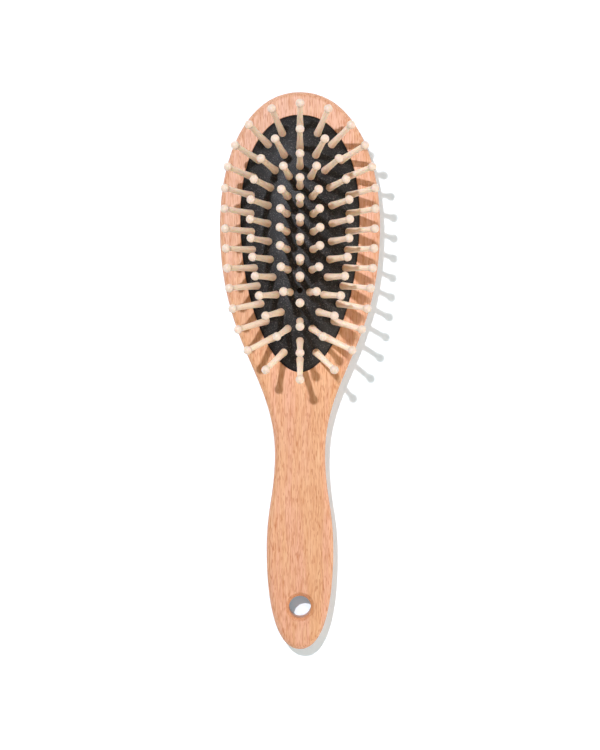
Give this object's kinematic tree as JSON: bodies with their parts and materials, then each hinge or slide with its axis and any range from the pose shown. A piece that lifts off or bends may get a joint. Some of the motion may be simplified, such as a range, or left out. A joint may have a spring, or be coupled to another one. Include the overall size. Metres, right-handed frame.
{
  "type": "cushion hairbrush",
  "caption": "Wooden oval brush with an air cushion of black rubber, ball-tip wooden pins that sink when pressed, and a hanging hole in the handle.",
  "frame": {"origin": "middle of the flat back, at half the brush's length, on the surface that it lies on", "axes": "+Y along the brush towards the end of the head, +Z from the flat back towards the pin tips, +X across the head to the right when the pins face the viewer and the head is up"},
  "size_m": [0.0648, 0.225, 0.0396],
  "materials": {
    "beech_wood": "satin",
    "black_rubber": "matte",
    "pin_wood": "satin"
  },
  "bodies": {
    "brush": {"wooden_body": "beech_wood", "rubber_cushion": "black_rubber"},
    "centre_pins": {"pins_centre": "pin_wood"},
    "inner_pins": {"pins_inner_left": "pin_wood", "pins_inner_right": "pin_wood"},
    "pin_outer_01_body": {"pin_outer_01": "pin_wood"},
    "pin_outer_02_body": {"pin_outer_02": "pin_wood"},
    "pin_outer_03_body": {"pin_outer_03": "pin_wood"},
    "pin_outer_04_body": {"pin_outer_04": "pin_wood"},
    "pin_outer_05_body": {"pin_outer_05": "pin_wood"},
    "pin_outer_06_body": {"pin_outer_06": "pin_wood"},
    "pin_outer_07_body": {"pin_outer_07": "pin_wood"},
    "pin_outer_08_body": {"pin_outer_08": "pin_wood"},
    "pin_outer_09_body": {"pin_outer_09": "pin_wood"},
    "pin_outer_10_body": {"pin_outer_10": "pin_wood"},
    "pin_outer_11_body": {"pin_outer_11": "pin_wood"},
    "pin_outer_12_body": {"pin_outer_12": "pin_wood"},
    "pin_outer_13_body": {"pin_outer_13": "pin_wood"},
    "pin_outer_14_body": {"pin_outer_14": "pin_wood"},
    "pin_outer_15_body": {"pin_outer_15": "pin_wood"},
    "pin_outer_16_body": {"pin_outer_16": "pin_wood"},
    "pin_outer_17_body": {"pin_outer_17": "pin_wood"},
    "pin_outer_18_body": {"pin_outer_18": "pin_wood"},
    "pin_outer_19_body": {"pin_outer_19": "pin_wood"},
    "pin_outer_20_body": {"pin_outer_20": "pin_wood"},
    "pin_outer_21_body": {"pin_outer_21": "pin_wood"},
    "pin_outer_22_body": {"pin_outer_22": "pin_wood"},
    "pin_outer_23_body": {"pin_outer_23": "pin_wood"},
    "pin_outer_24_body": {"pin_outer_24": "pin_wood"},
    "pin_outer_25_body": {"pin_outer_25": "pin_wood"},
    "pin_outer_26_body": {"pin_outer_26": "pin_wood"},
    "pin_outer_27_body": {"pin_outer_27": "pin_wood"},
    "pin_outer_28_body": {"pin_outer_28": "pin_wood"},
    "pin_outer_29_body": {"pin_outer_29": "pin_wood"},
    "pin_outer_30_body": {"pin_outer_30": "pin_wood"},
    "pin_middle_01_body": {"pin_middle_01": "pin_wood"},
    "pin_middle_02_body": {"pin_middle_02": "pin_wood"},
    "pin_middle_03_body": {"pin_middle_03": "pin_wood"},
    "pin_middle_04_body": {"pin_middle_04": "pin_wood"},
    "pin_middle_05_body": {"pin_middle_05": "pin_wood"},
    "pin_middle_06_body": {"pin_middle_06": "pin_wood"},
    "pin_middle_07_body": {"pin_middle_07": "pin_wood"},
    "pin_middle_08_body": {"pin_middle_08": "pin_wood"},
    "pin_middle_09_body": {"pin_middle_09": "pin_wood"},
    "pin_middle_10_body": {"pin_middle_10": "pin_wood"},
    "pin_middle_11_body": {"pin_middle_11": "pin_wood"},
    "pin_middle_12_body": {"pin_middle_12": "pin_wood"},
    "pin_middle_13_body": {"pin_middle_13": "pin_wood"},
    "pin_middle_14_body": {"pin_middle_14": "pin_wood"},
    "pin_middle_15_body": {"pin_middle_15": "pin_wood"},
    "pin_middle_16_body": {"pin_middle_16": "pin_wood"},
    "pin_middle_17_body": {"pin_middle_17": "pin_wood"},
    "pin_middle_18_body": {"pin_middle_18": "pin_wood"},
    "pin_middle_19_body": {"pin_middle_19": "pin_wood"},
    "pin_middle_20_body": {"pin_middle_20": "pin_wood"},
    "pin_middle_21_body": {"pin_middle_21": "pin_wood"},
    "pin_middle_22_body": {"pin_middle_22": "pin_wood"},
    "pin_middle_23_body": {"pin_middle_23": "pin_wood"},
    "pin_middle_24_body": {"pin_middle_24": "pin_wood"}
  },
  "joints": [
    {"name": "cushion_press", "type": "slide", "parent": "brush", "child": "centre_pins", "axis": [0, 0, -1], "range_m": [0, 0.0036], "stiffness_N_per_m": 2500, "deforming": ["rubber_cushion"]},
    {"name": "inner_press", "type": "slide", "parent": "brush", "child": "inner_pins", "axis": [0, 0, -1], "range_m": [0, 0.0036]},
    {"name": "pin_outer_01_flex", "type": "hinge", "parent": "brush", "child": "pin_outer_01_body", "pos_m": [0, 0.1048, 0.01186], "axis": [1, 0, 0], "range_deg": [0, 10.24]},
    {"name": "pin_outer_02_flex", "type": "hinge", "parent": "brush", "child": "pin_outer_02_body", "pos_m": [0.01078, 0.10152, 0.01177], "axis": [0.8653, -0.5013, 0], "range_deg": [0, 10.81]},
    {"name": "pin_outer_03_flex", "type": "hinge", "parent": "brush", "child": "pin_outer_03_body", "pos_m": [0.01758, 0.0941, 0.01158], "axis": [0.5849, -0.8111, 0], "range_deg": [0, 12.1]},
    {"name": "pin_outer_04_flex", "type": "hinge", "parent": "brush", "child": "pin_outer_04_body", "pos_m": [0.02127, 0.08625, 0.01144], "axis": [0.3637, -0.9315, 0], "range_deg": [0, 12.95]},
    {"name": "pin_outer_05_flex", "type": "hinge", "parent": "brush", "child": "pin_outer_05_body", "pos_m": [0.02343, 0.07845, 0.01139], "axis": [0.2076, -0.9782, 0], "range_deg": [0, 13.23]},
    {"name": "pin_outer_06_flex", "type": "hinge", "parent": "brush", "child": "pin_outer_06_body", "pos_m": [0.02463, 0.0707, 0.01143], "axis": [0.0937, -0.9956, 0], "range_deg": [0, 13.18]},
    {"name": "pin_outer_07_flex", "type": "hinge", "parent": "brush", "child": "pin_outer_07_body", "pos_m": [0.02511, 0.06302, 0.01153], "axis": [0.0136, -0.9999, 0], "range_deg": [0, 13.05]},
    {"name": "pin_outer_08_flex", "type": "hinge", "parent": "brush", "child": "pin_outer_08_body", "pos_m": [0.02502, 0.05546, 0.01158], "axis": [-0.037, -0.9993, 0], "range_deg": [0, 13.08]},
    {"name": "pin_outer_09_flex", "type": "hinge", "parent": "brush", "child": "pin_outer_09_body", "pos_m": [0.0245, 0.04797, 0.01159], "axis": [-0.0791, -0.9969, 0], "range_deg": [0, 13.29]},
    {"name": "pin_outer_10_flex", "type": "hinge", "parent": "brush", "child": "pin_outer_10_body", "pos_m": [0.02359, 0.0405, 0.0116], "axis": [-0.1237, -0.9923, 0], "range_deg": [0, 13.67]},
    {"name": "pin_outer_11_flex", "type": "hinge", "parent": "brush", "child": "pin_outer_11_body", "pos_m": [0.02226, 0.03304, 0.01161], "axis": [-0.1784, -0.984, 0], "range_deg": [0, 14.18]},
    {"name": "pin_outer_12_flex", "type": "hinge", "parent": "brush", "child": "pin_outer_12_body", "pos_m": [0.02045, 0.02561, 0.0116], "axis": [-0.2496, -0.9683, 0], "range_deg": [0, 14.68]},
    {"name": "pin_outer_13_flex", "type": "hinge", "parent": "brush", "child": "pin_outer_13_body", "pos_m": [0.01804, 0.01823, 0.01156], "axis": [-0.3452, -0.9385, 0], "range_deg": [0, 15.01]},
    {"name": "pin_outer_14_flex", "type": "hinge", "parent": "brush", "child": "pin_outer_14_body", "pos_m": [0.0148, 0.01093, 0.0115], "axis": [-0.4825, -0.8759, 0], "range_deg": [0, 14.82]},
    {"name": "pin_outer_15_flex", "type": "hinge", "parent": "brush", "child": "pin_outer_15_body", "pos_m": [0.01007, 0.00361, 0.01148], "axis": [-0.7151, -0.699, 0], "range_deg": [0, 13.32]},
    {"name": "pin_outer_16_flex", "type": "hinge", "parent": "brush", "child": "pin_outer_16_body", "pos_m": [0, -0.00201, 0.0115], "axis": [-1, 0, 0], "range_deg": [0, 10.92]},
    {"name": "pin_outer_17_flex", "type": "hinge", "parent": "brush", "child": "pin_outer_17_body", "pos_m": [-0.01007, 0.00361, 0.01148], "axis": [-0.7151, 0.699, 0], "range_deg": [0, 13.32]},
    {"name": "pin_outer_18_flex", "type": "hinge", "parent": "brush", "child": "pin_outer_18_body", "pos_m": [-0.0148, 0.01093, 0.0115], "axis": [-0.4825, 0.8759, 0], "range_deg": [0, 14.82]},
    {"name": "pin_outer_19_flex", "type": "hinge", "parent": "brush", "child": "pin_outer_19_body", "pos_m": [-0.01804, 0.01823, 0.01156], "axis": [-0.3452, 0.9385, 0], "range_deg": [0, 15.01]},
    {"name": "pin_outer_20_flex", "type": "hinge", "parent": "brush", "child": "pin_outer_20_body", "pos_m": [-0.02045, 0.02561, 0.0116], "axis": [-0.2496, 0.9683, 0], "range_deg": [0, 14.68]},
    {"name": "pin_outer_21_flex", "type": "hinge", "parent": "brush", "child": "pin_outer_21_body", "pos_m": [-0.02226, 0.03304, 0.01161], "axis": [-0.1784, 0.984, 0], "range_deg": [0, 14.18]},
    {"name": "pin_outer_22_flex", "type": "hinge", "parent": "brush", "child": "pin_outer_22_body", "pos_m": [-0.02359, 0.0405, 0.0116], "axis": [-0.1237, 0.9923, 0], "range_deg": [0, 13.67]},
    {"name": "pin_outer_23_flex", "type": "hinge", "parent": "brush", "child": "pin_outer_23_body", "pos_m": [-0.0245, 0.04797, 0.01159], "axis": [-0.0791, 0.9969, 0], "range_deg": [0, 13.29]},
    {"name": "pin_outer_24_flex", "type": "hinge", "parent": "brush", "child": "pin_outer_24_body", "pos_m": [-0.02502, 0.05546, 0.01158], "axis": [-0.037, 0.9993, 0], "range_deg": [0, 13.08]},
    {"name": "pin_outer_25_flex", "type": "hinge", "parent": "brush", "child": "pin_outer_25_body", "pos_m": [-0.02511, 0.06302, 0.01153], "axis": [0.0136, 0.9999, 0], "range_deg": [0, 13.05]},
    {"name": "pin_outer_26_flex", "type": "hinge", "parent": "brush", "child": "pin_outer_26_body", "pos_m": [-0.02463, 0.0707, 0.01143], "axis": [0.0937, 0.9956, 0], "range_deg": [0, 13.18]},
    {"name": "pin_outer_27_flex", "type": "hinge", "parent": "brush", "child": "pin_outer_27_body", "pos_m": [-0.02343, 0.07845, 0.01139], "axis": [0.2076, 0.9782, 0], "range_deg": [0, 13.23]},
    {"name": "pin_outer_28_flex", "type": "hinge", "parent": "brush", "child": "pin_outer_28_body", "pos_m": [-0.02127, 0.08625, 0.01144], "axis": [0.3637, 0.9315, 0], "range_deg": [0, 12.95]},
    {"name": "pin_outer_29_flex", "type": "hinge", "parent": "brush", "child": "pin_outer_29_body", "pos_m": [-0.01758, 0.0941, 0.01158], "axis": [0.5849, 0.8111, 0], "range_deg": [0, 12.1]},
    {"name": "pin_outer_30_flex", "type": "hinge", "parent": "brush", "child": "pin_outer_30_body", "pos_m": [-0.01078, 0.10152, 0.01177], "axis": [0.8653, 0.5013, 0], "range_deg": [0, 10.81]},
    {"name": "pin_middle_01_flex", "type": "hinge", "parent": "brush", "child": "pin_middle_01_body", "pos_m": [0, 0.11296, 0.01354], "axis": [1, 0, 0], "range_deg": [0, 6.32]},
    {"name": "pin_middle_02_flex", "type": "hinge", "parent": "brush", "child": "pin_middle_02_body", "pos_m": [0.02139, 0.10267, 0.01361], "axis": [0.7398, -0.6728, 0], "range_deg": [0, 6.86]},
    {"name": "pin_middle_03_flex", "type": "hinge", "parent": "brush", "child": "pin_middle_03_body", "pos_m": [0.02839, 0.08767, 0.01369], "axis": [0.3867, -0.9222, 0], "range_deg": [0, 7.8]},
    {"name": "pin_middle_04_flex", "type": "hinge", "parent": "brush", "child": "pin_middle_04_body", "pos_m": [0.03012, 0.07623, 0.0137], "axis": [0.1729, -0.9849, 0], "range_deg": [0, 8.41]},
    {"name": "pin_middle_05_flex", "type": "hinge", "parent": "brush", "child": "pin_middle_05_body", "pos_m": [0.03047, 0.06683, 0.01367], "axis": [0.0523, -0.9986, 0], "range_deg": [0, 8.72]},
    {"name": "pin_middle_06_flex", "type": "hinge", "parent": "brush", "child": "pin_middle_06_body", "pos_m": [0.03038, 0.05858, 0.01366], "axis": [-0.0082, -1, 0], "range_deg": [0, 8.83]},
    {"name": "pin_middle_07_flex", "type": "hinge", "parent": "brush", "child": "pin_middle_07_body", "pos_m": [0.03011, 0.05085, 0.01369], "axis": [-0.04, -0.9992, 0], "range_deg": [0, 8.88]},
    {"name": "pin_middle_08_flex", "type": "hinge", "parent": "brush", "child": "pin_middle_08_body", "pos_m": [0.02961, 0.04319, 0.01376], "axis": [-0.0683, -0.9977, 0], "range_deg": [0, 8.93]},
    {"name": "pin_middle_09_flex", "type": "hinge", "parent": "brush", "child": "pin_middle_09_body", "pos_m": [0.02887, 0.03521, 0.01384], "axis": [-0.1151, -0.9934, 0], "range_deg": [0, 8.95]},
    {"name": "pin_middle_10_flex", "type": "hinge", "parent": "brush", "child": "pin_middle_10_body", "pos_m": [0.02773, 0.02648, 0.01392], "axis": [-0.2028, -0.9792, 0], "range_deg": [0, 8.85]},
    {"name": "pin_middle_11_flex", "type": "hinge", "parent": "brush", "child": "pin_middle_11_body", "pos_m": [0.0257, 0.01626, 0.0139], "axis": [-0.3639, -0.9314, 0], "range_deg": [0, 8.45]},
    {"name": "pin_middle_12_flex", "type": "hinge", "parent": "brush", "child": "pin_middle_12_body", "pos_m": [0.02044, 0.00304, 0.0137], "axis": [-0.6598, -0.7514, 0], "range_deg": [0, 7.57]},
    {"name": "pin_middle_13_flex", "type": "hinge", "parent": "brush", "child": "pin_middle_13_body", "pos_m": [0, -0.00846, 0.0133], "axis": [-1, 0, 0], "range_deg": [0, 6.97]},
    {"name": "pin_middle_14_flex", "type": "hinge", "parent": "brush", "child": "pin_middle_14_body", "pos_m": [-0.02044, 0.00304, 0.0137], "axis": [-0.6598, 0.7514, 0], "range_deg": [0, 7.57]},
    {"name": "pin_middle_15_flex", "type": "hinge", "parent": "brush", "child": "pin_middle_15_body", "pos_m": [-0.0257, 0.01626, 0.0139], "axis": [-0.3639, 0.9314, 0], "range_deg": [0, 8.45]},
    {"name": "pin_middle_16_flex", "type": "hinge", "parent": "brush", "child": "pin_middle_16_body", "pos_m": [-0.02773, 0.02648, 0.01392], "axis": [-0.2028, 0.9792, 0], "range_deg": [0, 8.85]},
    {"name": "pin_middle_17_flex", "type": "hinge", "parent": "brush", "child": "pin_middle_17_body", "pos_m": [-0.02887, 0.03521, 0.01384], "axis": [-0.1151, 0.9934, 0], "range_deg": [0, 8.95]},
    {"name": "pin_middle_18_flex", "type": "hinge", "parent": "brush", "child": "pin_middle_18_body", "pos_m": [-0.02961, 0.04319, 0.01376], "axis": [-0.0683, 0.9977, 0], "range_deg": [0, 8.93]},
    {"name": "pin_middle_19_flex", "type": "hinge", "parent": "brush", "child": "pin_middle_19_body", "pos_m": [-0.03011, 0.05085, 0.01369], "axis": [-0.04, 0.9992, 0], "range_deg": [0, 8.88]},
    {"name": "pin_middle_20_flex", "type": "hinge", "parent": "brush", "child": "pin_middle_20_body", "pos_m": [-0.03038, 0.05858, 0.01366], "axis": [-0.0082, 1, 0], "range_deg": [0, 8.83]},
    {"name": "pin_middle_21_flex", "type": "hinge", "parent": "brush", "child": "pin_middle_21_body", "pos_m": [-0.03047, 0.06683, 0.01367], "axis": [0.0523, 0.9986, 0], "range_deg": [0, 8.72]},
    {"name": "pin_middle_22_flex", "type": "hinge", "parent": "brush", "child": "pin_middle_22_body", "pos_m": [-0.03012, 0.07623, 0.0137], "axis": [0.1729, 0.9849, 0], "range_deg": [0, 8.41]},
    {"name": "pin_middle_23_flex", "type": "hinge", "parent": "brush", "child": "pin_middle_23_body", "pos_m": [-0.02839, 0.08767, 0.01369], "axis": [0.3867, 0.9222, 0], "range_deg": [0, 7.8]},
    {"name": "pin_middle_24_flex", "type": "hinge", "parent": "brush", "child": "pin_middle_24_body", "pos_m": [-0.02139, 0.10267, 0.01361], "axis": [0.7398, 0.6728, 0], "range_deg": [0, 6.86]}
  ],
  "couplings": [
    {"joint": "inner_press", "follows": "cushion_press", "ratio": 0.95},
    {"joint": "pin_outer_01_flex", "follows": "cushion_press", "rad_per_m": 48.688},
    {"joint": "pin_outer_02_flex", "follows": "cushion_press", "rad_per_m": 51.416},
    {"joint": "pin_outer_03_flex", "follows": "cushion_press", "rad_per_m": 57.701},
    {"joint": "pin_outer_04_flex", "follows": "cushion_press", "rad_per_m": 61.828},
    {"joint": "pin_outer_05_flex", "follows": "cushion_press", "rad_per_m": 63.181},
    {"joint": "pin_outer_06_flex", "follows": "cushion_press", "rad_per_m": 62.939},
    {"joint": "pin_outer_07_flex", "follows": "cushion_press", "rad_per_m": 62.289},
    {"joint": "pin_outer_08_flex", "follows": "cushion_press", "rad_per_m": 62.436},
    {"joint": "pin_outer_09_flex", "follows": "cushion_press", "rad_per_m": 63.463},
    {"joint": "pin_outer_10_flex", "follows": "cushion_press", "rad_per_m": 65.324},
    {"joint": "pin_outer_11_flex", "follows": "cushion_press", "rad_per_m": 67.757},
    {"joint": "pin_outer_12_flex", "follows": "cushion_press", "rad_per_m": 70.21},
    {"joint": "pin_outer_13_flex", "follows": "cushion_press", "rad_per_m": 71.79},
    {"joint": "pin_outer_14_flex", "follows": "cushion_press", "rad_per_m": 70.89},
    {"joint": "pin_outer_15_flex", "follows": "cushion_press", "rad_per_m": 63.623},
    {"joint": "pin_outer_16_flex", "follows": "cushion_press", "rad_per_m": 51.975},
    {"joint": "pin_outer_17_flex", "follows": "cushion_press", "rad_per_m": 63.623},
    {"joint": "pin_outer_18_flex", "follows": "cushion_press", "rad_per_m": 70.89},
    {"joint": "pin_outer_19_flex", "follows": "cushion_press", "rad_per_m": 71.79},
    {"joint": "pin_outer_20_flex", "follows": "cushion_press", "rad_per_m": 70.21},
    {"joint": "pin_outer_21_flex", "follows": "cushion_press", "rad_per_m": 67.757},
    {"joint": "pin_outer_22_flex", "follows": "cushion_press", "rad_per_m": 65.324},
    {"joint": "pin_outer_23_flex", "follows": "cushion_press", "rad_per_m": 63.463},
    {"joint": "pin_outer_24_flex", "follows": "cushion_press", "rad_per_m": 62.436},
    {"joint": "pin_outer_25_flex", "follows": "cushion_press", "rad_per_m": 62.289},
    {"joint": "pin_outer_26_flex", "follows": "cushion_press", "rad_per_m": 62.939},
    {"joint": "pin_outer_27_flex", "follows": "cushion_press", "rad_per_m": 63.181},
    {"joint": "pin_outer_28_flex", "follows": "cushion_press", "rad_per_m": 61.828},
    {"joint": "pin_outer_29_flex", "follows": "cushion_press", "rad_per_m": 57.701},
    {"joint": "pin_outer_30_flex", "follows": "cushion_press", "rad_per_m": 51.416},
    {"joint": "pin_middle_01_flex", "follows": "cushion_press", "rad_per_m": 29.65},
    {"joint": "pin_middle_02_flex", "follows": "cushion_press", "rad_per_m": 32.286},
    {"joint": "pin_middle_03_flex", "follows": "cushion_press", "rad_per_m": 36.867},
    {"joint": "pin_middle_04_flex", "follows": "cushion_press", "rad_per_m": 39.815},
    {"joint": "pin_middle_05_flex", "follows": "cushion_press", "rad_per_m": 41.293},
    {"joint": "pin_middle_06_flex", "follows": "cushion_press", "rad_per_m": 41.864},
    {"joint": "pin_middle_07_flex", "follows": "cushion_press", "rad_per_m": 42.076},
    {"joint": "pin_middle_08_flex", "follows": "cushion_press", "rad_per_m": 42.306},
    {"joint": "pin_middle_09_flex", "follows": "cushion_press", "rad_per_m": 42.426},
    {"joint": "pin_middle_10_flex", "follows": "cushion_press", "rad_per_m": 41.932},
    {"joint": "pin_middle_11_flex", "follows": "cushion_press", "rad_per_m": 39.996},
    {"joint": "pin_middle_12_flex", "follows": "cushion_press", "rad_per_m": 35.73},
    {"joint": "pin_middle_13_flex", "follows": "cushion_press", "rad_per_m": 32.842},
    {"joint": "pin_middle_14_flex", "follows": "cushion_press", "rad_per_m": 35.73},
    {"joint": "pin_middle_15_flex", "follows": "cushion_press", "rad_per_m": 39.996},
    {"joint": "pin_middle_16_flex", "follows": "cushion_press", "rad_per_m": 41.932},
    {"joint": "pin_middle_17_flex", "follows": "cushion_press", "rad_per_m": 42.426},
    {"joint": "pin_middle_18_flex", "follows": "cushion_press", "rad_per_m": 42.306},
    {"joint": "pin_middle_19_flex", "follows": "cushion_press", "rad_per_m": 42.076},
    {"joint": "pin_middle_20_flex", "follows": "cushion_press", "rad_per_m": 41.864},
    {"joint": "pin_middle_21_flex", "follows": "cushion_press", "rad_per_m": 41.293},
    {"joint": "pin_middle_22_flex", "follows": "cushion_press", "rad_per_m": 39.815},
    {"joint": "pin_middle_23_flex", "follows": "cushion_press", "rad_per_m": 36.867},
    {"joint": "pin_middle_24_flex", "follows": "cushion_press", "rad_per_m": 32.286}
  ]
}
